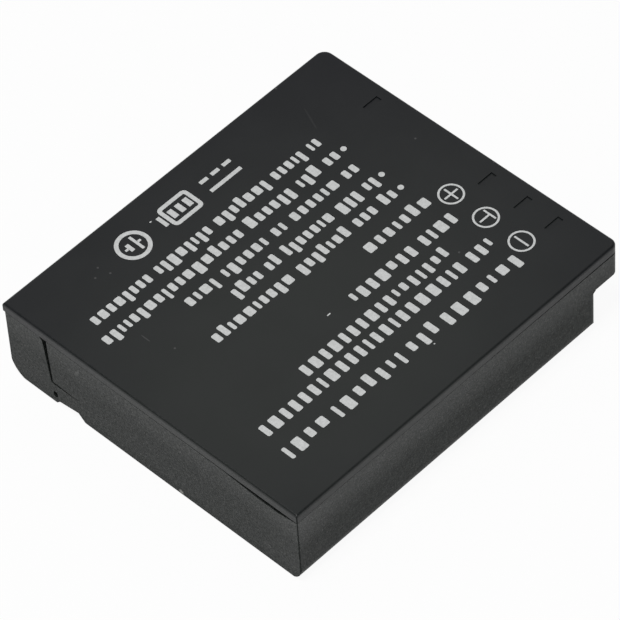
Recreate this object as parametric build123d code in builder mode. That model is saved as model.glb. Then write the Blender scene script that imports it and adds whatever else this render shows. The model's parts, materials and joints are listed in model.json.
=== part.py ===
"""Flat lithium-ion battery pack for a compact camera.

Millimetres. +X runs from the plain end to the contact end, +Z up through the cover.
The origin is at the middle of the underside.
"""

import os

from build123d import *

# Outside of the case; the cover overhangs the tub a little along +Y
length = 41.6
width = 36.4
height = 9.3
cover_overhang = 0.25
cover_rim = 0.95
near_edge_radius = 1.67
far_edge_radius = 2.5
contact_near_corner = 0.8
contact_far_corner = 1.05
plain_corner = 0.1
end_edge_radius = 0.25
cover_edge_radius = 0.28
step_depth = 2.95
ledge_radius = 0.1
ledge_blend = 0.25
ledge_blend_angle = 40

# Walls, and the joint between cover and tub
wall = 0.8
floor_thickness = 0.8
board_floor = 0.97
inside_corner = 0.08
rim_wall = 0.4
tongue_depth = 0.5
tongue_clearance = 0.05
joint_gap = 0.04
cover_relief = 0.2

# Sag of the tub's rim along the plain end, placed from the -Y side: slight at first, then open
sag_length = 23.2
sag_turn_inset = 9.0
sag_turn_depth = 0.06
sag_low_from_inset = 4.8
sag_low_to_inset = 2.2
sag_depth = 0.4

# Sag of the tub's rim along the -Y side, towards the contact end
side_sag_length = 18.0
side_sag_depth = 0.11

# Slit, pit and notch in the plain end, placed from the +Y side
slit_top_inset = 5.25
slit_top_width = 0.56
slit_barb_length = 0.3
slit_barb_height = 0.33
slit_neck_inset = 5.33
slit_neck_z = 6.9
slit_neck_width = 0.46
slit_corner_inset = 5.67
slit_corner_z = 2.83
slit_corner_width = 0.23
slit_end_inset = 9.0
slit_end_z = 2.75
slit_end_width = 0.06
slit_depth = 0.6
pit_inset = 5.93
pit_z = 1.3
pit_width = 0.55
pit_height = 0.7
pit_depth = 0.6
notch_inset = 5.8
notch_width = 4.0
notch_low_flare = 0.6
notch_low_rise = 0.6
notch_high_flare = 1.0
notch_high_rise = 0.95
notch_depth = 0.6

# Contacts, placed from the -Y side, which the negative one is nearest to
negative_inset = 5.81
negative_pitch = 3.72
sense_pitch = 4.36
contact_width = 2.6
contact_thickness = 0.2
contact_fold = 0.4
contact_bend = 0.15
contact_foot = 1.2
contact_clearance = 0.05
contact_headroom = 0.45
window_overlap = 0.2
window_edge = 0.1
divider_clearance = 0.1

# Pockets moulded into the top of the cover, one over each contact and one apart
pocket_length = 1.88
pocket_width = 0.65
pocket_depth = 0.12
pocket_end_distance = 1.28
lone_pocket_inset = 8.25

# Board and the parts on it
board_thickness = 0.6
board_side_clearance = 0.6
board_edge_clearance = 0.1
board_lid_clearance = 0.4
board_corner = 0.5
part_room = 1.35
part_gap = 0.4
chip_length = 2.9
chip_width = 1.6
chip_height = 1.0
chip_standoff = 0.1
chip_leg_span = 2.8
chip_leg_pitch = 0.95
chip_leg_width = 0.4
chip_leg_thickness = 0.15
capacitor_length = 1.6
capacitor_width = 0.8
capacitor_height = 0.8
resistor_length = 1.0
resistor_width = 0.5
resistor_height = 0.35
thermistor_height = 0.6

# Cell and what holds it
cell_side_clearance = 0.4
cell_end_clearance = 0.15
cell_edge_radius = 2.4
cell_base_radius = 0.6
lid_space = 1.45
tape_thickness = 0.15
tape_inset = 4.0
foam_thickness = 0.5
foam_inset = 5.0

# On the cell's lid
terminal_length = 4.0
terminal_height = 2.6
terminal_rise = 0.7
gasket_thickness = 0.3
gasket_margin = 0.8
plug_diameter = 1.6
plug_thickness = 0.25
plug_edge_distance = 4.0
insulator_thickness = 0.15
insulator_height = 5.0
insulator_margin = 0.4
insulator_gap = 0.3
fuse_length = 4.2
strip_thickness = 0.12
strip_width = 2.4
strip_bend = 0.1
strip_foot = 0.9
strip_drop = 3.6

# Levels
parting_z = height - cover_rim
rim_z = parting_z - joint_gap
seat_z = parting_z - tongue_depth
board_z = parting_z - part_room - board_thickness
board_top_z = board_z + board_thickness
ledge_z = board_z - board_floor
ceiling_z = parting_z + cover_relief
cell_z = floor_thickness + tape_thickness
cell_top_z = ceiling_z - foam_thickness
cell_middle_z = (cell_z + cell_top_z) / 2

# Places along the case
plain_x = -length / 2
contact_x = length / 2
step_x = contact_x - step_depth
lip_inside_x = contact_x - wall
lid_x = step_x - wall - lid_space
cell_x = plain_x + wall + cell_end_clearance
leaf_x = lip_inside_x - contact_clearance - contact_thickness / 2
board_inner_x = lid_x + board_lid_clearance
board_outer_x = leaf_x - contact_thickness / 2 - board_edge_clearance
board_middle_x = (board_inner_x + board_outer_x) / 2

# Places across the case
side_y = width / 2
tub_side_y = side_y - cover_overhang
tub_width = tub_side_y + side_y
tub_y = (tub_side_y - side_y) / 2
negative_y = -side_y + negative_inset
sense_y = negative_y + negative_pitch
positive_y = sense_y + sense_pitch
contact_ys = (positive_y, sense_y, negative_y)
lone_pocket_y = side_y - lone_pocket_inset
slit_top_y = side_y - slit_top_inset
slit_neck_y = side_y - slit_neck_inset
slit_corner_y = side_y - slit_corner_inset
slit_end_y = side_y - slit_end_inset
pit_y = side_y - pit_inset
notch_to_y = side_y - notch_inset
notch_from_y = notch_to_y - notch_width
cell_width = tub_width - 2 * (wall + cell_side_clearance)
board_length = tub_width - 2 * (wall + board_side_clearance)
gasket_half = terminal_length / 2 + gasket_margin
fuse_start_y = -gasket_half - insulator_gap - insulator_margin
fuse_end_y = fuse_start_y - fuse_length

# Order of the parts along the board, from the positive contact outwards
thermistor_y = positive_y + contact_width / 2 + part_gap + capacitor_width / 2
capacitor_pitch = capacitor_width + part_gap
first_capacitor_y = thermistor_y + capacitor_pitch
second_capacitor_y = first_capacitor_y + capacitor_pitch
transistor_y = second_capacitor_y + capacitor_width / 2 + part_gap + chip_length / 2
lead_start_y = max(transistor_y + chip_length / 2, gasket_half) + part_gap
positive_lead_y = lead_start_y + strip_width / 2
resistor_pitch = resistor_width + part_gap
first_resistor_y = positive_lead_y + strip_width / 2 + part_gap + resistor_width / 2
last_resistor_y = first_resistor_y + 2 * resistor_pitch
protection_chip_y = last_resistor_y + resistor_width / 2 + part_gap + chip_length / 2

# Heights of the contact and of its window
contact_top_z = ceiling_z - contact_headroom
contact_bottom_z = board_z + window_edge / 2
window_top_z = seat_z - window_edge / 2
window_bottom_z = board_z + window_edge


def shell_plan(far_y, inset, end_x):
    """Plan of one shell, from the -Y side to far_y and from the plain end to end_x, drawn in by inset."""
    with BuildSketch() as plan:
        with Locations(((plain_x + end_x) / 2, (far_y - side_y) / 2)):
            Rectangle(end_x - plain_x - 2 * inset, far_y + side_y - 2 * inset)
        contact_end = plan.vertices().group_by(Axis.X)[-1]
        fillet(contact_end.sort_by(Axis.Y)[0], max(contact_near_corner - inset, inside_corner))
        contact_end = plan.vertices().group_by(Axis.X)[-1]
        fillet(contact_end.sort_by(Axis.Y)[-1], max(contact_far_corner - inset, inside_corner))
        plain_end = plan.vertices().group_by(Axis.X)[0]
        fillet(plain_end, max(plain_corner - inset, inside_corner))
    return plan.sketch


def tub_section(inset, bottom_z):
    """Section across the tub, with rounded long bottom edges, drawn in by inset."""
    with BuildSketch() as section:
        with Locations((tub_y, (bottom_z + height) / 2)):
            Rectangle(tub_width - 2 * inset, height - bottom_z)
        bottom = section.vertices().group_by(Axis.Y)[0]
        fillet(bottom.sort_by(Axis.X)[0], near_edge_radius - inset)
        bottom = section.vertices().group_by(Axis.Y)[0]
        fillet(bottom.sort_by(Axis.X)[-1], far_edge_radius - inset)
    return section.sketch


# Case tub: upper part, which overhangs the step at the contact end
with BuildPart() as lip_form:
    with BuildSketch(Plane.XY.offset(ledge_z)):
        add(shell_plan(tub_side_y, 0, contact_x))
    extrude(amount=rim_z - ledge_z)
    fillet(lip_form.faces().sort_by(Axis.Z)[0].edges(), ledge_radius)

# Case tub: room for the cell, with a shallow bay for the board in the stepped end
with BuildPart() as cavity:
    with BuildSketch(Plane.XY.offset(floor_thickness)):
        add(shell_plan(tub_side_y, wall, step_x))
    extrude(amount=height - floor_thickness)
    with BuildSketch(Plane.YZ):
        add(tub_section(wall, floor_thickness))
    extrude(amount=length / 2, both=True, mode=Mode.INTERSECT)
    with BuildSketch(Plane.XY.offset(board_z)):
        add(shell_plan(tub_side_y, wall, contact_x))
    extrude(amount=height - board_z)

# Case tub: lower part, blended into the overhang, then rounded along its long bottom edges
with BuildPart() as case_tub:
    with BuildSketch(Plane.XY):
        add(shell_plan(tub_side_y, 0, step_x))
    extrude(amount=rim_z)
    fillet(case_tub.faces().sort_by(Axis.Z)[0].edges(), end_edge_radius)
    with BuildSketch(Plane.XY.offset(ledge_z - ledge_blend)):
        add(shell_plan(tub_side_y, 0, step_x))
    extrude(amount=ledge_blend, taper=-ledge_blend_angle)
    with BuildSketch(Plane.XY):
        add(shell_plan(tub_side_y, 0, contact_x))
    extrude(amount=height, mode=Mode.INTERSECT)
    add(lip_form.part)
    with BuildSketch(Plane.YZ):
        add(tub_section(0, 0))
    extrude(amount=length / 2, both=True, mode=Mode.INTERSECT)
    add(cavity.part, mode=Mode.SUBTRACT)
    # Seat of the cover's tongue
    with BuildSketch(Plane.XY.offset(seat_z)):
        add(shell_plan(tub_side_y, rim_wall, contact_x))
    extrude(amount=tongue_depth, mode=Mode.SUBTRACT)
    # Dividers between neighbouring contacts
    with BuildSketch(Plane.XY.offset(board_z)):
        for contact_y, pitch in ((negative_y, negative_pitch), (sense_y, sense_pitch)):
            divider_from = board_outer_x + board_edge_clearance
            with Locations(((divider_from + lip_inside_x) / 2, contact_y + pitch / 2)):
                Rectangle(lip_inside_x - divider_from, pitch - contact_width - 2 * divider_clearance)
    extrude(amount=window_top_z - board_z)
    # Contact windows
    with BuildSketch(Plane.YZ.offset(lip_inside_x)):
        with Locations(*[(y, (window_bottom_z + window_top_z) / 2) for y in contact_ys]):
            Rectangle(contact_width - 2 * window_overlap, window_top_z - window_bottom_z)
    extrude(amount=wall, mode=Mode.SUBTRACT)
    # Sagging rim along the plain end
    with BuildSketch(Plane.YZ.offset(plain_x)):
        with BuildLine():
            Polyline(
                (-side_y + sag_length, rim_z),
                (-side_y, rim_z),
                (-side_y + sag_low_to_inset, rim_z - sag_depth),
                (-side_y + sag_low_from_inset, rim_z - sag_depth),
                (-side_y + sag_turn_inset, rim_z - sag_turn_depth),
                close=True,
            )
        make_face()
    extrude(amount=rim_wall, mode=Mode.SUBTRACT)
    # Sagging rim along the -Y side
    with BuildSketch(Plane.XZ.offset(side_y - rim_wall)):
        with BuildLine():
            Polyline(
                (contact_x - side_sag_length, rim_z),
                (contact_x, rim_z),
                (contact_x, rim_z - side_sag_depth),
                close=True,
            )
        make_face()
    extrude(amount=rim_wall, mode=Mode.SUBTRACT)
    # Slit that runs down from a barb at the rim and turns along the end
    with BuildSketch(Plane.YZ.offset(plain_x)):
        with BuildLine():
            Polyline(
                (slit_top_y - slit_top_width / 2, rim_z),
                (slit_top_y + slit_top_width / 2 + slit_barb_length, rim_z),
                (slit_top_y + slit_top_width / 2, rim_z - slit_barb_height),
                (slit_neck_y + slit_neck_width / 2, slit_neck_z),
                (slit_corner_y + slit_corner_width / 2, slit_corner_z - slit_corner_width / 2),
                (slit_end_y, slit_end_z - slit_end_width / 2),
                (slit_end_y, slit_end_z + slit_end_width / 2),
                (slit_corner_y - slit_corner_width / 2, slit_corner_z + slit_corner_width / 2),
                (slit_neck_y - slit_neck_width / 2, slit_neck_z),
                close=True,
            )
        make_face()
    extrude(amount=slit_depth, mode=Mode.SUBTRACT)
    # Pit below the slit
    with BuildSketch(Plane.YZ.offset(plain_x)):
        with Locations((pit_y, pit_z)):
            SlotOverall(pit_height, pit_width, rotation=90)
    extrude(amount=pit_depth, mode=Mode.SUBTRACT)
    # Shallow skewed notch in the bottom edge, with flared sides
    with BuildSketch(Plane.YZ.offset(plain_x)):
        with BuildLine():
            Polyline(
                (notch_from_y, 0),
                (notch_to_y, 0),
                (notch_to_y - notch_low_flare, notch_low_rise),
                (notch_from_y + notch_high_flare, notch_high_rise),
                close=True,
            )
        make_face()
    extrude(amount=notch_depth, mode=Mode.SUBTRACT)

# Case cover: plate with a rounded top edge, a relieved underside and a tongue all round
with BuildPart() as case_cover:
    with BuildSketch(Plane.XY.offset(parting_z)):
        add(shell_plan(side_y, 0, contact_x))
    extrude(amount=cover_rim)
    fillet(case_cover.faces().sort_by(Axis.Z)[-1].edges(), cover_edge_radius)
    with BuildSketch(Plane.XY.offset(parting_z)):
        add(shell_plan(tub_side_y, wall, contact_x))
    extrude(amount=cover_relief, mode=Mode.SUBTRACT)
    with BuildSketch(Plane.XY.offset(seat_z)):
        add(shell_plan(tub_side_y, rim_wall + tongue_clearance, contact_x))
        add(shell_plan(tub_side_y, wall, contact_x), mode=Mode.SUBTRACT)
    extrude(amount=tongue_depth)
    pocket_x = contact_x - pocket_end_distance - pocket_length / 2
    with BuildSketch(Plane.XY.offset(height - pocket_depth)):
        with Locations(*[(pocket_x, y) for y in (*contact_ys, lone_pocket_y)]):
            Rectangle(pocket_length, pocket_width)
    extrude(amount=pocket_depth, mode=Mode.SUBTRACT)

# Cell: drawn can with round sides, closed by its lid at the contact end
with BuildPart() as cell_can:
    with BuildSketch(Plane.YZ.offset(cell_x)):
        with Locations((tub_y, cell_middle_z)):
            RectangleRounded(cell_width, cell_top_z - cell_z, cell_edge_radius)
    extrude(amount=lid_x - cell_x)
    fillet(cell_can.faces().sort_by(Axis.X)[0].edges(), cell_base_radius)

with BuildPart() as terminal_gasket:
    with BuildSketch(Plane.YZ.offset(lid_x)):
        with Locations((0, cell_middle_z)):
            SlotOverall(2 * gasket_half, terminal_height + 2 * gasket_margin)
    extrude(amount=gasket_thickness)

with BuildPart() as cell_terminal:
    with BuildSketch(Plane.YZ.offset(lid_x + gasket_thickness)):
        with Locations((0, cell_middle_z)):
            Rectangle(terminal_length, terminal_height)
    extrude(amount=terminal_rise - gasket_thickness)

with BuildPart() as fill_plug:
    with BuildSketch(Plane.YZ.offset(lid_x)):
        with Locations((cell_width / 2 - plug_edge_distance, cell_middle_z)):
            Circle(plug_diameter / 2)
    extrude(amount=plug_thickness)

# Negative line on the lid: insulator, fuse, and the strips to and from the fuse
with BuildPart() as lid_insulator:
    insulator_from = fuse_end_y - strip_width - insulator_margin
    insulator_to = fuse_start_y + insulator_margin
    with BuildSketch(Plane.YZ.offset(lid_x)):
        with Locations(((insulator_from + insulator_to) / 2, cell_middle_z)):
            Rectangle(insulator_to - insulator_from, insulator_height)
    extrude(amount=insulator_thickness)

with BuildPart() as thermal_fuse:
    with BuildSketch(Plane.YZ.offset(lid_x + insulator_thickness)):
        with Locations(((fuse_start_y + fuse_end_y) / 2, cell_middle_z)):
            Rectangle(fuse_length, terminal_height)
    extrude(amount=terminal_rise - insulator_thickness)

with BuildPart() as negative_link:
    link_from = fuse_start_y - fuse_length / 2
    link_to = terminal_length / 2
    with BuildSketch(Plane.YZ.offset(lid_x + terminal_rise)):
        with Locations(((link_from + link_to) / 2, cell_middle_z)):
            Rectangle(link_to - link_from, strip_width)
    extrude(amount=strip_thickness)


def bent_strip(from_x, middle_y):
    """Strip that climbs the lid from from_x and folds over onto the board."""
    fold_z = board_top_z + strip_thickness / 2
    with BuildPart() as strip:
        with BuildSketch(Plane.XZ.offset(-middle_y)):
            with BuildLine():
                FilletPolyline(
                    (from_x + strip_thickness / 2, board_top_z - strip_drop),
                    (from_x + strip_thickness / 2, fold_z),
                    (board_inner_x + strip_foot, fold_z),
                    radius=strip_bend,
                )
            trace(line_width=strip_thickness)
        extrude(amount=strip_width / 2, both=True)
    return strip


negative_lead = bent_strip(lid_x + insulator_thickness, fuse_end_y - strip_width / 2)
positive_lead = bent_strip(lid_x, positive_lead_y)

# Protection board, lying on the floor of the stepped end
with BuildPart() as protection_board:
    with BuildSketch(Plane.XY.offset(board_z)) as board_plan:
        with Locations((board_middle_x, tub_y)):
            Rectangle(board_outer_x - board_inner_x, board_length)
        chamfer(board_plan.vertices(), board_corner)
    extrude(amount=board_thickness)


def six_leg_chip(middle_y):
    """Moulded package with three bent legs on each long side, standing on the board."""
    body_z = board_top_z + chip_standoff
    leg_z = body_z + chip_height / 2
    foot_z = board_top_z + chip_leg_thickness / 2
    knee = (chip_leg_span - chip_width) / 4
    with BuildPart() as chip:
        with BuildSketch(Plane.XY.offset(body_z)):
            with Locations((board_middle_x, middle_y)):
                Rectangle(chip_width, chip_length)
        extrude(amount=chip_height)
        for row in (-1, 0, 1):
            with BuildSketch(Plane.XZ.offset(-middle_y - row * chip_leg_pitch)):
                for side in (-1, 1):
                    body_edge = side * (chip_width / 2 - chip_leg_thickness)
                    with BuildLine():
                        Polyline(
                            (board_middle_x + body_edge, leg_z),
                            (board_middle_x + side * (chip_width / 2 + knee), leg_z),
                            (board_middle_x + side * (chip_width / 2 + knee), foot_z),
                            (board_middle_x + side * chip_leg_span / 2, foot_z),
                        )
                    trace(line_width=chip_leg_thickness)
            extrude(amount=chip_leg_width / 2, both=True)
    return chip


protection_chip = six_leg_chip(protection_chip_y)
switch_transistor = six_leg_chip(transistor_y)

with BuildPart() as board_capacitors:
    with BuildSketch(Plane.XY.offset(board_top_z)):
        with Locations(*[(board_middle_x, y) for y in (first_capacitor_y, second_capacitor_y)]):
            Rectangle(capacitor_length, capacitor_width)
    extrude(amount=capacitor_height)

with BuildPart() as board_resistors:
    with BuildSketch(Plane.XY.offset(board_top_z)):
        with Locations(*[(board_middle_x, first_resistor_y + i * resistor_pitch) for i in range(3)]):
            Rectangle(resistor_length, resistor_width)
    extrude(amount=resistor_height)

with BuildPart() as thermistor:
    with BuildSketch(Plane.XY.offset(board_top_z)):
        with Locations((board_middle_x, thermistor_y)):
            Rectangle(capacitor_length, capacitor_width)
    extrude(amount=thermistor_height)


def folded_contact(middle_y):
    """Contact strip: a foot on the board, folded up and over into a leaf behind its window."""
    foot_z = board_top_z + contact_thickness / 2
    back_x = leaf_x - contact_fold
    crown_z = contact_top_z - contact_thickness / 2
    with BuildPart() as contact:
        with BuildSketch(Plane.XZ.offset(-middle_y)):
            with BuildLine():
                FilletPolyline(
                    (back_x - contact_foot, foot_z),
                    (back_x, foot_z),
                    (back_x, crown_z),
                    (leaf_x, crown_z),
                    (leaf_x, contact_bottom_z),
                    radius=contact_bend,
                )
            trace(line_width=contact_thickness)
        extrude(amount=contact_width / 2, both=True)
    return contact


contact_positive = folded_contact(positive_y)
contact_sense = folded_contact(sense_y)
contact_negative = folded_contact(negative_y)

# Tape under the cell and foam over it
cell_run_x = (cell_x + lid_x) / 2
with BuildPart() as cell_tape:
    with BuildSketch(Plane.XY.offset(floor_thickness)):
        with Locations((cell_run_x, tub_y)):
            Rectangle(lid_x - cell_x - 2 * tape_inset, cell_width - 2 * tape_inset)
    extrude(amount=tape_thickness)

with BuildPart() as foam_pad:
    with BuildSketch(Plane.XY.offset(cell_top_z)):
        with Locations((cell_run_x, tub_y)):
            Rectangle(lid_x - cell_x - 2 * foam_inset, cell_width - 2 * foam_inset)
    extrude(amount=foam_thickness)

pieces = {
    "case_tub": case_tub,
    "case_cover": case_cover,
    "cell_can": cell_can,
    "terminal_gasket": terminal_gasket,
    "cell_terminal": cell_terminal,
    "fill_plug": fill_plug,
    "lid_insulator": lid_insulator,
    "thermal_fuse": thermal_fuse,
    "negative_link": negative_link,
    "negative_lead": negative_lead,
    "positive_lead": positive_lead,
    "protection_board": protection_board,
    "protection_chip": protection_chip,
    "switch_transistor": switch_transistor,
    "board_capacitors": board_capacitors,
    "board_resistors": board_resistors,
    "thermistor": thermistor,
    "contact_positive": contact_positive,
    "contact_sense": contact_sense,
    "contact_negative": contact_negative,
    "cell_tape": cell_tape,
    "foam_pad": foam_pad,
}

os.makedirs("parts", exist_ok=True)
for name, piece in pieces.items():
    piece.part.label = name
    export_step(piece.part, f"parts/{name}.step")
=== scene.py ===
import json
import math
import random

import bmesh
import bpy
from mathutils import Matrix, Vector


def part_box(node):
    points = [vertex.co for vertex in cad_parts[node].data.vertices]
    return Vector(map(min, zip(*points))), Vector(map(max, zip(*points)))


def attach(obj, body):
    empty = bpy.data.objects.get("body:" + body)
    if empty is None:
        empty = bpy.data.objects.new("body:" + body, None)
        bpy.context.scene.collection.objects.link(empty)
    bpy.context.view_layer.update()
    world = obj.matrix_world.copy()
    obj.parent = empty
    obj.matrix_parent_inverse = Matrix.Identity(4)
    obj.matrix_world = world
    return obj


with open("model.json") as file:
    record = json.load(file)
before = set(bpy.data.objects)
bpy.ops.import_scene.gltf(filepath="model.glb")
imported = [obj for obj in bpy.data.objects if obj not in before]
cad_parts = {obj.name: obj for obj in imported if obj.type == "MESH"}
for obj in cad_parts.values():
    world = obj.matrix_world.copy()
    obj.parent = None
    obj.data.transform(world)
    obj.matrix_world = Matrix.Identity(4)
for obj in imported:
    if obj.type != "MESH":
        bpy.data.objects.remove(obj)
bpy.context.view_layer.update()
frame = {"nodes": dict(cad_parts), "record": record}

MM = 0.001
TUB_LOW, TUB_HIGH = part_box("case_tub")
COVER_LOW, COVER_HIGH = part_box("case_cover")
COVER_MIDDLE = (COVER_LOW + COVER_HIGH) / 2

# Camera
CAMERA_AIM = Vector((-0.49, -0.08, 4.65)) * MM
CAMERA_DISTANCE = 442.9 * MM
CAMERA_AZIMUTH = math.radians(-43.17)
CAMERA_ELEVATION = math.radians(49.43)
CAMERA_ROLL = math.radians(-4.12)
CAMERA_LENS = 286.6
CAMERA_NEAR = 10 * MM

# Spans of a pattern's numbers: a mask's, one that fades out, and the middle of a noise's.
# A ramp, as below, is the span that a value goes over, then what it becomes at the two ends.
WHOLE = (0.0, 1.0)
FADE = (1.0, 0.0)
MOST_NOISE = (0.3, 0.7)

# Floor, then the sky's light by height over the horizon and by nearness to its glow, then the lamp
FLOOR_REACH = 3.0
FLOOR_DROP = 0.01 * MM
FLOOR_COLOUR = (0.9, 0.9, 0.9)
FLOOR_WHITE_SHARE = 0.94
HORIZON_RAMP = ((0.05, 0.35), (1.0, 0.1))
GLOW_DIRECTION = Vector((0.45, 0.48, 0.75)).normalized()
GLOW_RAMP = ((0.8, 0.98), (0.0, 0.5))
LAMP_PLACE = Vector((-0.17, -0.03, 0.6))
LAMP_SIZE = 0.2
LAMP_POWER = 2.5

# Print on the cover, in millimetres from the cover's middle.
# A line of print runs towards -X, and the next line lies further towards +Y.
INK_THICKNESS = 0.015
INK_CORNER = 0.15
CORNER_STEPS = 3
DISC_SIDES = 48
LINE_SEED = 12

# Each line of print: x of its start, x of its end, y of its top, height, share of tall blocks,
# gap between blocks, and the count of blocks in each word
PRINT_LINES = {
    "title": (13.4, -16.4, -13.6, 1.55, 0.65, 0.55, (7, 3, 7, 4)),
    "upper": (13.3, -16.0, -10.3, 1.4, 0.9, 0.44, (3, 22)),
    "indented": (9.8, -8.8, -8.2, 1.35, 0.9, 0.44, (17,)),
    "rating": (13.3, 0.2, -5.7, 1.35, 0.9, 0.38, (4, 7)),
    "heading": (13.2, 5.2, -2.95, 1.55, 0.3, 0.38, (7,)),
    "first": (11.9, -11.3, 0.0, 1.45, 0.3, 0.3, (2, 3, 7, 10)),
    "second": (11.9, -6.4, 2.37, 1.45, 0.3, 0.3, (2, 3, 7, 2, 4)),
    "third": (11.9, -9.9, 4.75, 1.45, 0.15, 0.3, (2, 6, 2, 6, 4)),
    "fourth": (11.9, -17.9, 7.12, 1.45, 0.3, 0.3, (2, 3, 6, 18)),
    "fifth": (11.9, -17.0, 9.5, 1.45, 0.3, 0.3, (2, 5, 7, 8, 8)),
}

# Blocks of print: widths, gap between words, height of a low block beside a tall one,
# how far a deep one reaches below its line, and the chance that a low one is deep
BLOCK_WIDTHS = (0.32, 0.46, 0.5, 0.54, 0.7)
WORD_GAP = 0.8
LOW_SHARE = 0.72
DEEP_SHARE = 0.25
DEEP_CHANCE = 0.12

# Round bullets before some lines
BULLET_X = 12.75
BULLET_RADIUS = 0.3
BULLET_LINES = ("first", "second", "fourth")

# Circled polarity signs beside the contacts, with their bars placed from a sign's middle
SIGN_X = 15.15
SIGN_YS = {"minus": -11.6, "sense": -7.3, "plus": -3.05}
SIGN_RADIUS = 1.26
SIGN_STROKE = 0.2
SIGN_CORNER = 0.02
SIGN_ARM = 0.85
SENSE_BAR_X = 0.5
SENSE_BAR_LENGTH = 1.5
SENSE_STEM_X = -0.8

# Pictograms below the print: direct current, charge level, cell
EMBLEM_Y = 14.2
EMBLEM_STROKE = 0.42
EMBLEM_CORNER = 0.05
CURRENT_X = 3.0
CURRENT_LENGTH = 3.9
CURRENT_GAP = 0.7
LEVEL_X = -2.2
LEVEL_LENGTH = 3.7
LEVEL_HEIGHT = 2.8
LEVEL_CORNER = 1.2 * EMBLEM_STROKE
LEVEL_BARS = 3
LEVEL_BAR_SHARE = 0.6
CELL_X = -8.2
CELL_RADIUS = 1.75
CELL_CORNER = 0.03
LONG_PLATE = (0.7 * EMBLEM_STROKE, 1.1 * CELL_RADIUS)
SHORT_PLATE = (EMBLEM_STROKE, 0.55 * CELL_RADIUS)

# The cell's leads: the room between a plate and the ring, the stroke, and for each lead
# how far its middle lies from its plate, and its length
LEAD_ROOM = CELL_RADIUS - 2.6 * EMBLEM_STROKE
LEAD_STROKE = 0.6 * EMBLEM_STROKE
LONG_PLATE_LEAD = (0.5 * LEAD_ROOM, 0.6 * LEAD_ROOM)
SHORT_PLATE_LEAD = (0.6 * LEAD_ROOM, 0.5 * LEAD_ROOM)

# Stray flecks of ink: x, y, length, width
INK_FLECKS = ((-5.2, 15.0, 0.22, 0.14), (-2.5, -4.6, 0.4, 0.13), (1.2, -13.9, 0.16, 0.12))

# Wear on the cover, in the same millimetres: light specks, and scratches with both ends and a strength
COVER_SPECKS = (
    (-12.2, 14.7), (-11.9, 13.4), (-13.2, 14.0), (-14.3, 2.9), (18.0, 4.0), (10.5, -8.3), (14.1, 17.9),
)
SPECK_RADIUS = 0.13
COVER_SCRATCHES = (((-15.2, 5.1), (-15.2, 6.2), 0.8), ((12.9, 11.55), (14.05, 14.25), 0.2))
SCRATCH_SPREAD = 0.01

# Painted pool of light on the cover, paler in an oval: its middle in the same millimetres, and how it is
# stretched
LIGHT_POOL_MIDDLE = (-7.0, -6.0)
LIGHT_POOL_OVAL = Vector((0.8, 1, 1))

# Wear on the plain end of the tub, by y and z in millimetres: a nick, painted pale as a glint, and a
# scuff like a scratch
NICK = (-3.5, 0.5)
NICK_RADIUS = 0.3
SCUFF = ((8.7, 7.25), (9.2, 6.5), 0.15)
SCUFF_SPREAD = 0.12

# Gloss along the sharp corner between the plain end and the -Y side: a thin dark line
CORNER_LINE = 0.14 * MM
CORNER_RAMP = ((0.4 * CORNER_LINE, CORNER_LINE), (0.2, 1.0))

# Colours and gloss of the cover, from its plain places to its painted pool of light
COVER_PLAIN = (0.003, 0.0037, 0.006)
COVER_PAINTED_LIGHT = (0.011, 0.0136, 0.0123)
COVER_CLOUD = (0.035, 0.037, 0.038)
COVER_WORN = (0.12, 0.12, 0.12)
LIGHT_POOL_RAMP = ((9 * MM, 31 * MM), FADE)
CLOUD_RAMP = (MOST_NOISE, (0.0, 0.1))
COVER_WEAR_RAMP = (WHOLE, (0.0, 0.5))
COVER_GLOSS_RAMP = (WHOLE, (0.35, 0.46))
RIM_RAMP = ((COVER_HIGH.z - 0.28 * MM, COVER_HIGH.z - 0.14 * MM), (0.5, 1.0))

# Colours of the tub's grain, of its paler facets, whose paleness is a painted glint, and of its worn
# places, where the nick is painted pale as a glint
GRAIN_DARK = (0.0075, 0.0098, 0.0086)
GRAIN_PALE = (0.0193, 0.0226, 0.0208)
FACET_PAINTED_GLINT = (0.03, 0.032, 0.029)
TUB_WEAR_AND_GLINT = (0.36, 0.36, 0.34)
MOTTLE_RAMP = ((0.35, 0.65), WHOLE)
FACET_RAMP = ((0.7, 0.95), WHOLE)
TUB_WEAR_RAMP = (WHOLE, (0.0, 0.8))

# Gloss of the tub: up its sides and its plain end, and what that is multiplied by
SIDE_RAMP = ((4.4 * MM, 7.6 * MM), (0.15, 0.42))
END_RAMP = ((5.2 * MM, 8.2 * MM), (0.177, 0.34))
ON_END_RAMP = ((TUB_LOW.x + 0.03 * MM, TUB_LOW.x + 0.12 * MM), FADE)
FOOT_RAMP = ((0.6 * MM, 1.5 * MM), (0.7, 1.0))
TOWARDS_CONTACTS_RAMP = ((TUB_LOW.x, TUB_HIGH.x), (0.96, 0.71))
RUBBED_RAMP = ((0.3 * MM, 5 * MM), (1.3, 1.0))
PIT_RAMP = (MOST_NOISE, (0.48, 1.48))
SPARK_RAMP = (WHOLE, (1.0, 1.55))


def on_cover(x, y):
    """Place on top of the cover, from millimetres about the cover's middle."""
    return Vector((COVER_MIDDLE.x + x * MM, COVER_MIDDLE.y + y * MM, COVER_HIGH.z))


def on_plain_end(y, z):
    """Place on the plain end of the tub, from millimetres."""
    return Vector((TUB_LOW.x, y * MM, z * MM))


def new_object(name, bm, material):
    """Object at the origin, from a finished bmesh and its material."""
    mesh = bpy.data.meshes.new(name)
    bm.to_mesh(mesh)
    bm.free()
    mesh.materials.append(material)
    made = bpy.data.objects.new(name, mesh)
    bpy.context.scene.collection.objects.link(made)
    return made


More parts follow.
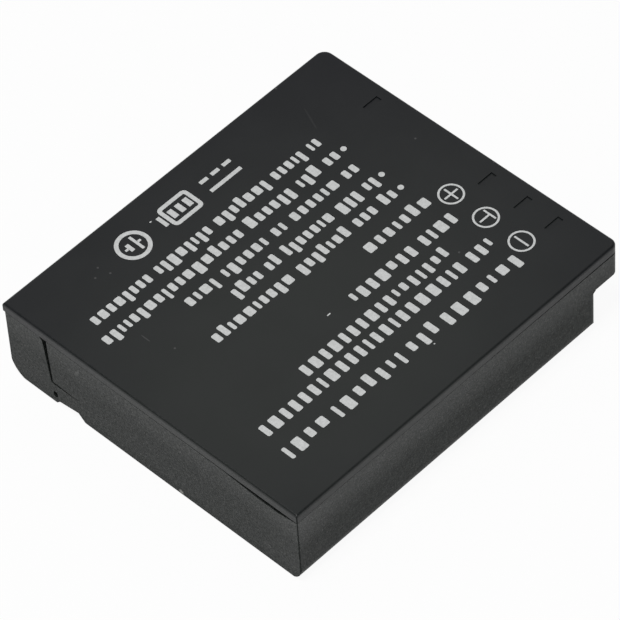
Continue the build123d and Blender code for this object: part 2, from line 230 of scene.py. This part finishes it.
# Materials
class NodeGraph:
    """Node tree, with the nodes that the finishes, the floor and the sky share."""

    def __init__(self, tree):
        self.nodes = tree.nodes
        self.links = tree.links

    def ranged(self, value, span, target, smooth=False):
        """Number that goes over target as value goes over span, and stays there past both ends."""
        node = self.nodes.new("ShaderNodeMapRange")
        node.interpolation_type = "SMOOTHSTEP" if smooth else "LINEAR"
        for socket, number in zip(node.inputs[1:5], (*span, *target)):
            socket.default_value = number
        self.links.new(value, node.inputs[0])
        return node.outputs[0]

    def gathered(self, operation, values):
        """One number from several, by an operation that takes them in one after another."""
        total = values[0]
        for value in values[1:]:
            node = self.nodes.new("ShaderNodeMath")
            node.operation = operation
            self.links.new(total, node.inputs[0])
            self.links.new(value, node.inputs[1])
            total = node.outputs[0]
        return total

    def compared(self, operation, vector, fixed):
        """Number from a vector and a fixed one, such as the distance between them."""
        node = self.nodes.new("ShaderNodeVectorMath")
        node.operation = operation
        node.inputs[1].default_value = fixed
        self.links.new(vector, node.inputs[0])
        return node.outputs["Value"]

    def share_along(self, axis, vector):
        """One of a vector's three numbers, by the name of its axis."""
        split = self.nodes.new("ShaderNodeSeparateXYZ")
        self.links.new(vector, split.inputs[0])
        return split.outputs[axis]


class Finish(NodeGraph):
    """A node material that reads Object coordinates."""

    def __init__(self, name, metallic=0.0):
        self.material = bpy.data.materials.new(name)
        self.material.use_nodes = True
        super().__init__(self.material.node_tree)
        self.shader = self.nodes["Principled BSDF"]
        self.shader.inputs["Metallic"].default_value = metallic
        self.place = self.nodes.new("ShaderNodeTexCoord").outputs["Object"]

    def stretched(self, scale):
        """Place on the part, scaled along each axis."""
        mapping = self.nodes.new("ShaderNodeMapping")
        mapping.inputs["Scale"].default_value = scale
        self.links.new(self.place, mapping.inputs["Vector"])
        return mapping.outputs["Vector"]

    def along(self, axis):
        """Distance along one axis of the part."""
        return self.share_along(axis, self.place)

    def away_from(self, point, place=None):
        """Distance from a point of the part."""
        return self.compared("DISTANCE", place or self.place, point)

    def from_upright(self, corner):
        """Distance from the upright line through a corner of the case."""
        return self.away_from(Vector((corner.x, corner.y, 0)), self.stretched((1, 1, 0)))

    def noise(self, size, detail=2.0, place=None):
        """Cloudy grain whose lumps are about size across."""
        texture = self.nodes.new("ShaderNodeTexNoise")
        texture.inputs["Scale"].default_value = 1 / size
        texture.inputs["Detail"].default_value = detail
        self.links.new(place or self.place, texture.inputs["Vector"])
        return texture.outputs["Fac"]

    def cells(self, size, output="Distance"):
        """Cells about size across, by the distance from each cell's seed or by a colour for each cell."""
        texture = self.nodes.new("ShaderNodeTexVoronoi")
        texture.inputs["Scale"].default_value = 1 / size
        self.links.new(self.place, texture.inputs["Vector"])
        return texture.outputs[output]

    def spot(self, point, radius):
        """Mask of a small spot, soft over the outer half of its radius."""
        return self.ranged(self.away_from(point), (radius / 2, radius), FADE)

    def scratch(self, start, end, strength, spread):
        """Mask of a scratch, strongest along the line from start to end."""
        run = (end - start).length
        both = self.gathered("ADD", [self.away_from(start), self.away_from(end)])
        return self.ranged(both, (run, run + spread), (strength, 0.0))

    def either(self, mask, first, second):
        """Number that goes from first to second as mask goes from 0 to 1."""
        node = self.nodes.new("ShaderNodeMix")
        for name, value in (("Factor", mask), ("A", first), ("B", second)):
            self.links.new(value, node.inputs[name])
        return node.outputs["Result"]

    def blend(self, mask, first, second):
        """Colour that goes from first to second as mask goes from 0 to 1."""
        node = self.nodes.new("ShaderNodeMix")
        node.data_type = "RGBA"
        self.links.new(mask, node.inputs["Factor"])
        for name, colour in (("A", first), ("B", second)):
            socket = next(s for s in node.inputs if s.name == name and s.type == "RGBA")
            if isinstance(colour, tuple):
                socket.default_value = (*colour, 1)
            else:
                self.links.new(colour, socket)
        return next(s for s in node.outputs if s.type == "RGBA")

    def colour(self, value):
        """Colour of the surface."""
        self.links.new(value, self.shader.inputs["Base Color"])

    def roughness(self, value, span, target):
        """Roughness of the surface, over target as value goes over span."""
        self.links.new(self.ranged(value, span, target), self.shader.inputs["Roughness"])

    def gloss(self, shares):
        """Specular level of the surface, as the product of its shares."""
        self.links.new(self.gathered("MULTIPLY", shares), self.shader.inputs["Specular IOR Level"])

    def bump(self, value, height):
        """Relief of the surface, from its lows to its highs."""
        node = self.nodes.new("ShaderNodeBump")
        node.inputs["Distance"].default_value = height
        self.links.new(value, node.inputs["Height"])
        self.links.new(node.outputs["Normal"], self.shader.inputs["Normal"])


def satin_cover_finish():
    """Smooth dark cover: paler in a painted pool of light, with specks, scratches and a dark corner line.
    """
    finish = Finish("satin_cover")
    middle = on_cover(*LIGHT_POOL_MIDDLE) * LIGHT_POOL_OVAL
    from_light_pool = finish.away_from(middle, finish.stretched(LIGHT_POOL_OVAL))
    # Painted pool of light: the cover's colour is paler towards the oval's middle
    painted_light_pool = finish.ranged(from_light_pool, *LIGHT_POOL_RAMP)
    base_with_light_pool = finish.blend(painted_light_pool, COVER_PLAIN, COVER_PAINTED_LIGHT)
    clouds = finish.ranged(finish.noise(size=5 * MM, detail=3.0), *CLOUD_RAMP)
    cloudy = finish.blend(clouds, base_with_light_pool, COVER_CLOUD)
    marks = [finish.spot(on_cover(*place), SPECK_RADIUS * MM) for place in COVER_SPECKS]
    for start, end, strength in COVER_SCRATCHES:
        marks.append(finish.scratch(on_cover(*start), on_cover(*end), strength, SCRATCH_SPREAD * MM))
    worn = finish.ranged(finish.gathered("MAXIMUM", marks), *COVER_WEAR_RAMP)
    finish.colour(finish.blend(worn, cloudy, COVER_WORN))
    finish.gloss([
        finish.ranged(painted_light_pool, *COVER_GLOSS_RAMP),
        finish.ranged(finish.from_upright(COVER_LOW), *CORNER_RAMP),
        finish.ranged(finish.along("Z"), *RIM_RAMP),
    ])
    finish.roughness(finish.noise(size=0.5 * MM), span=MOST_NOISE, target=(0.32, 0.4))
    finish.bump(finish.noise(size=0.1 * MM, detail=3.0), height=0.008 * MM)
    return finish.material


def grained_case_finish():
    """Spark-eroded tub: grain with paler facets as painted glints, duller low down, a dark corner line, a
    nick painted pale as a glint, and a scuff.
    """
    finish = Finish("grained_case")
    mottle = finish.ranged(finish.noise(size=0.4 * MM, detail=4.0), *MOTTLE_RAMP)
    grain = finish.blend(mottle, GRAIN_DARK, GRAIN_PALE)
    facets = finish.ranged(finish.cells(size=0.16 * MM, output="Color"), *FACET_RAMP)
    # The facets' paler colour is a painted glint over the grain
    grain_with_painted_glints = finish.blend(facets, grain, FACET_PAINTED_GLINT)
    glinting_nick = finish.spot(on_plain_end(*NICK), NICK_RADIUS * MM)
    start, end, strength = SCUFF
    scuff = finish.scratch(on_plain_end(*start), on_plain_end(*end), strength, SCUFF_SPREAD * MM)
    # The nick's pale colour is a painted glint on a real nick; the scuff is wear
    worn = finish.ranged(finish.gathered("MAXIMUM", [glinting_nick, scuff]), *TUB_WEAR_RAMP)
    finish.colour(finish.blend(worn, grain_with_painted_glints, TUB_WEAR_AND_GLINT))
    height = finish.along("Z")
    length = finish.along("X")
    on_end = finish.ranged(length, *ON_END_RAMP)
    from_corner = finish.from_upright(TUB_LOW)
    finish.gloss([
        finish.either(on_end, finish.ranged(height, *SIDE_RAMP), finish.ranged(height, *END_RAMP)),
        finish.ranged(height, *FOOT_RAMP),
        finish.ranged(length, *TOWARDS_CONTACTS_RAMP),
        finish.ranged(from_corner, *RUBBED_RAMP),
        finish.ranged(from_corner, *CORNER_RAMP),
        finish.ranged(finish.noise(size=0.14 * MM), *PIT_RAMP),
        finish.ranged(facets, *SPARK_RAMP),
    ])
    pitted = finish.noise(size=0.2 * MM)
    finish.roughness(pitted, span=MOST_NOISE, target=(0.42, 0.6))
    finish.bump(pitted, height=0.022 * MM)
    return finish.material


def pale_ink_finish():
    """Print ink, thin in places."""
    finish = Finish("pale_ink")
    thin, full = (0.57, 0.581, 0.577), (0.69, 0.703, 0.698)
    mottle = finish.ranged(finish.noise(size=0.25 * MM, detail=3.0), MOST_NOISE, WHOLE)
    finish.colour(finish.blend(mottle, thin, full))
    finish.roughness(mottle, span=WHOLE, target=(0.45, 0.6))
    finish.bump(finish.noise(size=0.1 * MM), height=0.006 * MM)
    return finish.material


def drawn_aluminium_finish():
    """Deep-drawn can: streaks along the draw, with a soft sheen."""
    finish = Finish("drawn_aluminium", metallic=1.0)
    dull, bright = (0.62, 0.63, 0.64), (0.78, 0.79, 0.80)
    along_draw = finish.stretched((0.04, 1, 1))
    streaks = finish.noise(size=0.15 * MM, detail=3.0, place=along_draw)
    finish.colour(finish.blend(streaks, dull, bright))
    finish.roughness(streaks, span=MOST_NOISE, target=(0.28, 0.45))
    finish.bump(streaks, height=0.004 * MM)
    return finish.material


def moulded_gasket_finish():
    """White moulded plastic, slightly uneven."""
    finish = Finish("moulded_gasket")
    dull, white = (0.78, 0.78, 0.74), (0.88, 0.88, 0.85)
    clouds = finish.ranged(finish.noise(size=0.8 * MM, detail=3.0), MOST_NOISE, WHOLE)
    finish.colour(finish.blend(clouds, dull, white))
    finish.roughness(clouds, span=WHOLE, target=(0.45, 0.6))
    finish.bump(finish.noise(size=0.12 * MM), height=0.006 * MM)
    return finish.material


def rolled_nickel_finish():
    """Nickel strip with the lines of the rolling mill, tarnished in places."""
    finish = Finish("rolled_nickel", metallic=1.0)
    dull, bright, tarnished = (0.56, 0.54, 0.50), (0.68, 0.66, 0.62), (0.42, 0.38, 0.32)
    along_roll = finish.stretched((1, 0.05, 1))
    lines = finish.noise(size=0.08 * MM, detail=3.0, place=along_roll)
    tarnish = finish.ranged(finish.noise(size=1.5 * MM, detail=3.0), span=(0.4, 0.75), target=(0.0, 0.5))
    finish.colour(finish.blend(tarnish, finish.blend(lines, dull, bright), tarnished))
    finish.roughness(lines, span=MOST_NOISE, target=(0.25, 0.42))
    finish.bump(lines, height=0.003 * MM)
    return finish.material


def pressed_fibre_finish():
    """Pressed fibre sheet with crossed hairs."""
    finish = Finish("pressed_fibre")
    dark, pale = (0.38, 0.40, 0.35), (0.52, 0.54, 0.49)
    ways = (finish.stretched((1, 1, 0.1)), finish.stretched((1, 0.1, 1)))
    crossed = [finish.noise(size=0.1 * MM, detail=3.0, place=way) for way in ways]
    hairs = finish.gathered("MAXIMUM", crossed)
    finish.colour(finish.blend(finish.ranged(hairs, span=(0.45, 0.75), target=WHOLE), dark, pale))
    finish.roughness(hairs, span=(0.4, 0.8), target=(0.72, 0.9))
    finish.bump(hairs, height=0.01 * MM)
    return finish.material


def moulded_resin_finish():
    """Black package resin, sand-blasted by its mould."""
    finish = Finish("moulded_resin")
    black, grey = (0.022, 0.022, 0.024), (0.04, 0.04, 0.042)
    grain = finish.noise(size=0.06 * MM, detail=3.0)
    finish.colour(finish.blend(finish.ranged(grain, MOST_NOISE, WHOLE), black, grey))
    finish.roughness(grain, span=MOST_NOISE, target=(0.5, 0.7))
    finish.bump(grain, height=0.008 * MM)
    return finish.material


def lacquered_laminate_finish():
    """Green solder resist over a woven laminate."""
    finish = Finish("lacquered_laminate")
    deep, light = (0.014, 0.13, 0.055), (0.026, 0.19, 0.085)
    ways = (finish.stretched((1, 0.1, 1)), finish.stretched((0.1, 1, 1)))
    threads = [finish.noise(size=0.2 * MM, detail=1.0, place=way) for way in ways]
    weave = finish.ranged(finish.gathered("MULTIPLY", threads), span=(0.15, 0.4), target=WHOLE)
    finish.colour(finish.blend(weave, deep, light))
    finish.roughness(weave, span=WHOLE, target=(0.22, 0.34))
    finish.bump(weave, height=0.005 * MM)
    return finish.material


def fired_ceramic_finish():
    """Fired ceramic chips, speckled."""
    finish = Finish("fired_ceramic")
    dark, pale = (0.29, 0.19, 0.11), (0.41, 0.29, 0.19)
    specks = finish.ranged(finish.cells(size=0.09 * MM, output="Color"), span=(0.2, 0.9), target=WHOLE)
    finish.colour(finish.blend(specks, dark, pale))
    finish.roughness(specks, span=WHOLE, target=(0.48, 0.62))
    finish.bump(finish.noise(size=0.05 * MM), height=0.004 * MM)
    return finish.material


def plated_gold_finish():
    """Gold plating with the wiping marks of the camera's pins."""
    finish = Finish("plated_gold", metallic=1.0)
    deep, light = (0.76, 0.54, 0.21), (0.88, 0.68, 0.33)
    along_wipe = finish.stretched((0.08, 1, 0.08))
    wipes = finish.noise(size=0.07 * MM, detail=3.0, place=along_wipe)
    finish.colour(finish.blend(wipes, deep, light))
    finish.roughness(wipes, span=(0.3, 0.75), target=(0.16, 0.36))
    finish.bump(wipes, height=0.003 * MM)
    return finish.material


def creased_tape_finish():
    """Pale double-sided tape with small creases."""
    finish = Finish("creased_tape")
    pale, dull = (0.83, 0.82, 0.77), (0.73, 0.72, 0.66)
    creases = finish.ranged(finish.cells(size=2.5 * MM), span=(0.0, 0.8), target=WHOLE)
    finish.colour(finish.blend(creases, pale, dull))
    finish.roughness(creases, span=WHOLE, target=(0.5, 0.7))
    finish.bump(creases, height=0.02 * MM)
    return finish.material


def celled_foam_finish():
    """Dark closed-cell foam."""
    finish = Finish("celled_foam")
    hollow, wall = (0.06, 0.06, 0.06), (0.13, 0.13, 0.13)
    cells = finish.ranged(finish.cells(size=0.25 * MM), span=(0.0, 0.7), target=WHOLE)
    finish.colour(finish.blend(cells, hollow, wall))
    finish.roughness(cells, span=WHOLE, target=(0.95, 0.8))
    finish.bump(cells, height=0.08 * MM)
    return finish.material


# Print, laid on the cover as thin ink
def ink_blocks(bm, rectangles, corner=INK_CORNER):
    """Flat blocks with round corners; each rectangle is x from, x to, y from, y to."""
    blocks = []
    for x_from, x_to, y_from, y_to in rectangles:
        outline = ((x_from, y_from), (x_to, y_from), (x_to, y_to), (x_from, y_to))
        blocks.append(bm.faces.new([bm.verts.new(on_cover(x, y)) for x, y in outline]))
    bmesh.ops.bevel(
        bm, geom=[v for f in blocks for v in f.verts], offset=corner * MM, offset_type="OFFSET",
        segments=CORNER_STEPS, profile=0.5, affect="VERTICES", material=-1,
    )


def ink_disc(bm, x, y, radius):
    """Flat disc, as one face."""
    disc = bmesh.ops.create_circle(bm, cap_ends=True, segments=DISC_SIDES, radius=radius * MM)
    bmesh.ops.translate(bm, verts=disc["verts"], vec=on_cover(x, y))
    return disc["verts"][0].link_faces[0]


def ink_outline(bm, face, stroke):
    """Keeps only a line of the given stroke along the edge of a flat face."""
    bmesh.ops.inset_region(
        bm, faces=[face], thickness=stroke * MM, use_boundary=True, use_even_offset=True,
    )
    bmesh.ops.delete(bm, geom=[face], context="FACES")


def ink_bar(x, y, along_x, along_y):
    """Rectangle of a bar from its middle and its two lengths."""
    return (x - along_x / 2, x + along_x / 2, y - along_y / 2, y + along_y / 2)


def ink_piece(bm, name, ink):
    """Gives flat ink its thickness and makes it a piece that rides on the case."""
    raised = bmesh.ops.extrude_face_region(bm, geom=bm.faces[:])["geom"]
    tops = [v for v in raised if isinstance(v, bmesh.types.BMVert)]
    bmesh.ops.translate(bm, verts=tops, vec=(0, 0, INK_THICKNESS * MM))
    bmesh.ops.recalc_face_normals(bm, faces=bm.faces[:])
    piece = new_object(name, bm, ink)
    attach(piece, "root")


def line_blocks(draw, words, tall_share, gap):
    """Words of letter-sized blocks in a row, each as its start, end, top and bottom."""
    run = 0.0
    for letters in words:
        for _ in range(letters):
            wide = draw.choice(BLOCK_WIDTHS)
            top, bottom = 0.0, 1.0
            if draw.random() > tall_share:
                top = 1.0 - LOW_SHARE
                if draw.random() < DEEP_CHANCE:
                    bottom = 1.0 + DEEP_SHARE
            yield run, run + wide, top, bottom
            run += wide + gap
        run += WORD_GAP - gap


def print_lines(ink):
    """Lines of print, each fitted between its two ends."""
    draw = random.Random(LINE_SEED)
    for name, (x_start, x_end, y_top, height, tall_share, gap, words) in PRINT_LINES.items():
        blocks = list(line_blocks(draw, words, tall_share, gap))
        _, row_end, _, _ = blocks[-1]
        fit = (x_start - x_end) / row_end
        bm = bmesh.new()
        ink_blocks(bm, [
            (x_start - end * fit, x_start - start * fit, y_top + top * height, y_top + bottom * height)
            for start, end, top, bottom in blocks
        ])
        if name in BULLET_LINES:
            ink_disc(bm, BULLET_X, y_top + height * (1 - LOW_SHARE / 2), BULLET_RADIUS)
        ink_piece(bm, f"print_{name}", ink)


def print_signs(ink):
    """Plus, minus and sense signs, each in a ring."""
    stroke = SIGN_STROKE
    side = SIGN_ARM - stroke / 2
    bars = {
        "minus": [ink_bar(0, 0, stroke, 2 * SIGN_ARM)],
        "plus": [
            ink_bar(0, 0, 2 * SIGN_ARM, stroke),
            ink_bar(0, -(side + stroke) / 2, stroke, side),
            ink_bar(0, (side + stroke) / 2, stroke, side),
        ],
        "sense": [
            ink_bar(SENSE_BAR_X, 0, stroke, SENSE_BAR_LENGTH),
            (SENSE_STEM_X, SENSE_BAR_X - stroke / 2, -stroke / 2, stroke / 2),
        ],
    }
    for name, y in SIGN_YS.items():
        bm = bmesh.new()
        ink_outline(bm, ink_disc(bm, SIGN_X, y, SIGN_RADIUS), stroke)
        ink_blocks(bm, [
            (SIGN_X + x_from, SIGN_X + x_to, y + y_from, y + y_to)
            for x_from, x_to, y_from, y_to in bars[name]
        ], corner=SIGN_CORNER)
        ink_piece(bm, f"sign_{name}", ink)


def current_pictogram(ink):
    """Direct current: a long bar over three short ones."""
    bm = bmesh.new()
    bars = [ink_bar(CURRENT_X, EMBLEM_Y - CURRENT_GAP, CURRENT_LENGTH, EMBLEM_STROKE)]
    # Three dashes, with half a dash between them, are as long as the bar.
    dash = CURRENT_LENGTH / 4
    pitch = 1.5 * dash
    for i in (-1, 0, 1):
        bars.append(ink_bar(CURRENT_X + i * pitch, EMBLEM_Y + CURRENT_GAP, dash, EMBLEM_STROKE))
    ink_blocks(bm, bars, corner=EMBLEM_CORNER)
    ink_piece(bm, "pictogram_current", ink)


def level_pictogram(ink):
    """Battery outline with its stub and bars of charge."""
    bm = bmesh.new()
    outline = ink_bar(LEVEL_X, EMBLEM_Y, LEVEL_LENGTH, LEVEL_HEIGHT)
    ink_blocks(bm, [outline], corner=LEVEL_CORNER)
    ink_outline(bm, next(iter(bm.faces)), EMBLEM_STROKE)
    stub_x = LEVEL_X - LEVEL_LENGTH / 2 - EMBLEM_STROKE
    blocks = [ink_bar(stub_x, EMBLEM_Y, EMBLEM_STROKE, LEVEL_HEIGHT / 2)]
    inside = LEVEL_LENGTH - 2 * EMBLEM_STROKE
    pitch = inside / LEVEL_BARS
    # The outline and the room inside it take a stroke each, above and below the bars.
    bar_height = LEVEL_HEIGHT - 4 * EMBLEM_STROKE
    for i in range(LEVEL_BARS):
        bar_x = LEVEL_X - inside / 2 + (i + 0.5) * pitch
        blocks.append(ink_bar(bar_x, EMBLEM_Y, LEVEL_BAR_SHARE * pitch, bar_height))
    ink_blocks(bm, blocks, corner=EMBLEM_CORNER)
    ink_piece(bm, "pictogram_level", ink)


def cell_pictogram(ink):
    """The two plates of a cell with their leads, in a ring."""
    bm = bmesh.new()
    ink_outline(bm, ink_disc(bm, CELL_X, EMBLEM_Y, CELL_RADIUS), EMBLEM_STROKE)
    bars = []
    for side, plate, (lead_x, lead_length) in (
        (1, LONG_PLATE, LONG_PLATE_LEAD),
        (-1, SHORT_PLATE, SHORT_PLATE_LEAD),
    ):
        plate_x = CELL_X + side * EMBLEM_STROKE
        bars.append(ink_bar(plate_x, EMBLEM_Y, *plate))
        bars.append(ink_bar(plate_x + side * lead_x, EMBLEM_Y, lead_length, LEAD_STROKE))
    ink_blocks(bm, bars, corner=CELL_CORNER)
    ink_piece(bm, "pictogram_cell", ink)


def stray_flecks(ink):
    """Flecks of ink that strayed from the print."""
    bm = bmesh.new()
    ink_blocks(bm, [ink_bar(*fleck) for fleck in INK_FLECKS], corner=EMBLEM_CORNER)
    ink_piece(bm, "ink_flecks", ink)


# Stage
def white_floor_finish():
    """Paper that the camera, gloss and glass see almost white, with a little of its shading."""
    material = bpy.data.materials.new("white_floor")
    material.use_nodes = True
    graph = NodeGraph(material.node_tree)
    graph.nodes.clear()
    paper = graph.nodes.new("ShaderNodeBsdfDiffuse")
    paper.inputs["Color"].default_value = (*FLOOR_COLOUR, 1)
    white = graph.nodes.new("ShaderNodeEmission")
    rays = graph.nodes.new("ShaderNodeLightPath").outputs
    seeing = [rays[f"Is {kind} Ray"] for kind in ("Camera", "Glossy", "Transmission")]
    seen = graph.gathered("MAXIMUM", seeing)
    mix = graph.nodes.new("ShaderNodeMixShader")
    graph.links.new(graph.ranged(seen, WHOLE, (0.0, FLOOR_WHITE_SHARE)), mix.inputs["Fac"])
    graph.links.new(paper.outputs[0], mix.inputs[1])
    graph.links.new(white.outputs[0], mix.inputs[2])
    output = graph.nodes.new("ShaderNodeOutputMaterial")
    graph.links.new(mix.outputs[0], output.inputs["Surface"])
    return material


def white_floor():
    """Wide floor just under the battery."""
    bm = bmesh.new()
    bmesh.ops.create_grid(bm, x_segments=1, y_segments=1, size=FLOOR_REACH)
    floor = new_object("floor", bm, white_floor_finish())
    floor.location.z = -FLOOR_DROP


def studio_sky():
    """White at the horizon, dim above it, with a glow in the sky behind the battery."""
    world = bpy.data.worlds.new("studio")
    bpy.context.scene.world = world
    world.use_nodes = True
    graph = NodeGraph(world.node_tree)
    direction = graph.nodes.new("ShaderNodeTexCoord").outputs["Generated"]
    horizon = graph.ranged(graph.share_along("Z", direction), *HORIZON_RAMP)
    nearness = graph.compared("DOT_PRODUCT", direction, GLOW_DIRECTION)
    glow = graph.ranged(nearness, *GLOW_RAMP, smooth=True)
    light = graph.gathered("ADD", [horizon, glow])
    graph.links.new(light, graph.nodes["Background"].inputs["Color"])


def soft_lamp():
    """Square lamp that looks at the battery."""
    lamp = bpy.data.lights.new("key", "AREA")
    lamp.size = LAMP_SIZE
    lamp.energy = LAMP_POWER
    holder = bpy.data.objects.new("key", lamp)
    holder.location = LAMP_PLACE
    holder.rotation_mode = "QUATERNION"
    holder.rotation_quaternion = (-LAMP_PLACE).to_track_quat("-Z", "Y")
    bpy.context.scene.collection.objects.link(holder)


def photo_camera():
    """Camera at the photograph's angle, distance and framing."""
    flat = math.cos(CAMERA_ELEVATION)
    back = Vector((
        math.sin(CAMERA_AZIMUTH) * flat,
        -math.cos(CAMERA_AZIMUTH) * flat,
        math.sin(CAMERA_ELEVATION),
    ))
    right = Vector((math.cos(CAMERA_AZIMUTH), math.sin(CAMERA_AZIMUTH), 0))
    right.rotate(Matrix.Rotation(CAMERA_ROLL, 3, back))
    turn = Matrix((right, back.cross(right), back)).transposed().to_quaternion()
    camera = bpy.data.objects.new("camera", bpy.data.cameras.new("camera"))
    camera.data.lens = CAMERA_LENS
    camera.data.clip_start = CAMERA_NEAR
    camera.matrix_world = Matrix.LocRotScale(CAMERA_AIM + CAMERA_DISTANCE * back, turn, None)
    bpy.context.scene.collection.objects.link(camera)
    bpy.context.scene.camera = camera


FINISHES = {
    "case_plastic": grained_case_finish(),
    "cover_plastic": satin_cover_finish(),
    "can_aluminium": drawn_aluminium_finish(),
    "gasket_plastic": moulded_gasket_finish(),
    "nickel_strip": rolled_nickel_finish(),
    "insulating_fibre": pressed_fibre_finish(),
    "chip_resin": moulded_resin_finish(),
    "board_laminate": lacquered_laminate_finish(),
    "capacitor_ceramic": fired_ceramic_finish(),
    "contact_gold": plated_gold_finish(),
    "adhesive_tape": creased_tape_finish(),
    "soft_foam": celled_foam_finish(),
}
for subpart in frame["record"]["subparts"]:
    frame["nodes"][subpart["node"]].data.materials[0] = FINISHES[subpart["material_slot"]]

ink = pale_ink_finish()
print_lines(ink)
print_signs(ink)
current_pictogram(ink)
level_pictogram(ink)
cell_pictogram(ink)
stray_flecks(ink)

white_floor()
studio_sky()
soft_lamp()
photo_camera()
bpy.context.scene.view_settings.view_transform = "Standard"
